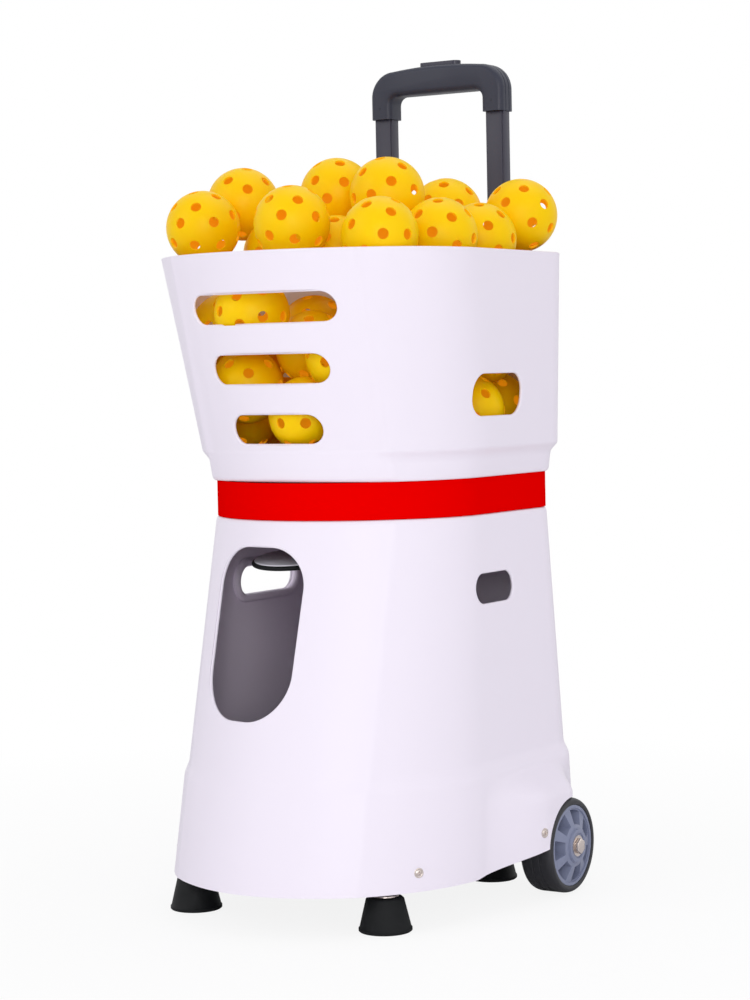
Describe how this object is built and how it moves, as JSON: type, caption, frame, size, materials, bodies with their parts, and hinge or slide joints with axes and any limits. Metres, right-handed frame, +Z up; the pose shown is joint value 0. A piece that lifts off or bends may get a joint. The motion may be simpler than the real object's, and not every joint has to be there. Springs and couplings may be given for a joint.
{
  "type": "pickleball machine",
  "caption": "Wheeled pickleball machine with slotted ball hopper, feed rotor, aimed two-wheel launcher behind a tall mouth, trolley handle and rubber feet.",
  "frame": {"origin": "middle of the footprint on the ground, halfway between the front edge of the skirt and the rear of the guide brackets", "axes": "+Z up, -Y is the launch side with the mouth, +X is the right-hand side seen from the front of the picture"},
  "size_m": [0.3992, 0.4122, 0.858],
  "materials": {
    "shell_white": "smooth gloss",
    "band_red": "smooth gloss",
    "handle_black": "fine satin",
    "handle_tube": "dark anodised satin",
    "foot_rubber": "matte",
    "tyre_black": "satin",
    "hub_grey": "satin",
    "lining_dark": "satin",
    "wine_red": "satin",
    "inner_grey": "matte",
    "pale_grey": "satin",
    "steel": "brushed",
    "ball_yellow": "satin"
  },
  "bodies": {
    "body": {"housing_shell": "shell_white", "mouth_lining": "lining_dark", "base_plate": "inner_grey", "accent_band": "band_red", "hopper_shell": "shell_white", "hopper_floor": "inner_grey", "foot_front_left": "foot_rubber", "foot_front_right": "foot_rubber", "foot_rear_left": "foot_rubber", "foot_rear_right": "foot_rubber", "axle_bracket_left": "steel", "axle_bracket_right": "steel", "turntable_column": "inner_grey", "feed_deck": "inner_grey", "feed_motor": "steel", "handle_guide_left": "handle_black", "handle_guide_right": "handle_black", "guide_bracket_lower": "handle_black", "guide_bracket_upper": "handle_black", "battery_pack": "handle_black", "control_panel": "handle_black", "charge_socket": "foot_rubber", "ball_1": "ball_yellow", "ball_2": "ball_yellow", "ball_3": "ball_yellow", "ball_4": "ball_yellow", "ball_5": "ball_yellow", "ball_6": "ball_yellow", "ball_7": "ball_yellow", "ball_8": "ball_yellow", "ball_9": "ball_yellow", "ball_10": "ball_yellow", "ball_11": "ball_yellow", "ball_12": "ball_yellow", "ball_13": "ball_yellow", "ball_14": "ball_yellow", "ball_15": "ball_yellow", "ball_16": "ball_yellow"},
    "road_wheel_left": {"wheel_tyre_left": "tyre_black", "wheel_hub_left": "hub_grey"},
    "road_wheel_right": {"wheel_tyre_right": "tyre_black", "wheel_hub_right": "hub_grey"},
    "turntable": {"yaw_turntable": "inner_grey", "ball_scoop": "lining_dark"},
    "cradle": {"launcher_cradle": "wine_red", "launcher_visor": "pale_grey", "launch_motor_upper": "steel", "launch_motor_lower": "steel"},
    "launch_wheel_upper": {"launch_hub_upper": "hub_grey", "launch_tyre_upper": "tyre_black"},
    "launch_wheel_lower": {"launch_hub_lower": "hub_grey", "launch_tyre_lower": "tyre_black"},
    "rotor": {"feed_rotor": "wine_red"},
    "handle": {"handle_post_left": "handle_tube", "handle_post_right": "handle_tube", "handle_grip": "handle_black"},
    "handle_button": {"release_button": "handle_black"},
    "rocker": {"power_switch": "foot_rubber"},
    "button_left": {"control_button_left": "pale_grey"},
    "button_right": {"control_button_right": "pale_grey"}
  },
  "joints": [
    {"name": "road_wheel_left_spin", "type": "hinge", "parent": "body", "child": "road_wheel_left", "pos_m": [-0.172, 0.1049, 0.048], "axis": [1, 0, 0], "continuous": true},
    {"name": "road_wheel_right_spin", "type": "hinge", "parent": "body", "child": "road_wheel_right", "pos_m": [0.172, 0.1049, 0.048], "axis": [1, 0, 0], "continuous": true},
    {"name": "launcher_sweep", "type": "hinge", "parent": "body", "child": "turntable", "pos_m": [-0.0207, 0.0299, 0.141], "axis": [0, 0, 1], "range_deg": [-5, 5]},
    {"name": "launcher_tilt", "type": "hinge", "parent": "turntable", "child": "cradle", "pos_m": [-0.0207, 0.0529, 0.265], "axis": [-1, 0, 0], "range_deg": [-6, 10]},
    {"name": "launch_wheel_upper_spin", "type": "hinge", "parent": "cradle", "child": "launch_wheel_upper", "pos_m": [-0.0207, -0.0001, 0.336], "axis": [1, 0, 0], "continuous": true},
    {"name": "launch_wheel_lower_spin", "type": "hinge", "parent": "cradle", "child": "launch_wheel_lower", "pos_m": [-0.0207, -0.0001, 0.194], "axis": [1, 0, 0], "continuous": true},
    {"name": "feed_rotor_spin", "type": "hinge", "parent": "body", "child": "rotor", "pos_m": [0, 0.03103, 0.43], "axis": [0, 0, 1], "continuous": true},
    {"name": "handle_slide", "type": "slide", "parent": "body", "child": "handle", "axis": [0, 0, 1], "range_m": [-0.33, 0]},
    {"name": "release_press", "type": "slide", "parent": "handle", "child": "handle_button", "axis": [0, 0, -1], "range_m": [0, 0.004], "stiffness_N_per_m": 500, "springref_m": -0.002},
    {"name": "power_rock", "type": "hinge", "parent": "body", "child": "rocker", "pos_m": [0, 0.1799, 0.326], "axis": [1, 0, 0], "range_deg": [0, 12]},
    {"name": "button_left_press", "type": "slide", "parent": "body", "child": "button_left", "axis": [0, -1, 0], "range_m": [0, 0.002], "stiffness_N_per_m": 300, "springref_m": -0.001},
    {"name": "button_right_press", "type": "slide", "parent": "body", "child": "button_right", "axis": [0, -1, 0], "range_m": [0, 0.002], "stiffness_N_per_m": 300, "springref_m": -0.001}
  ]
}
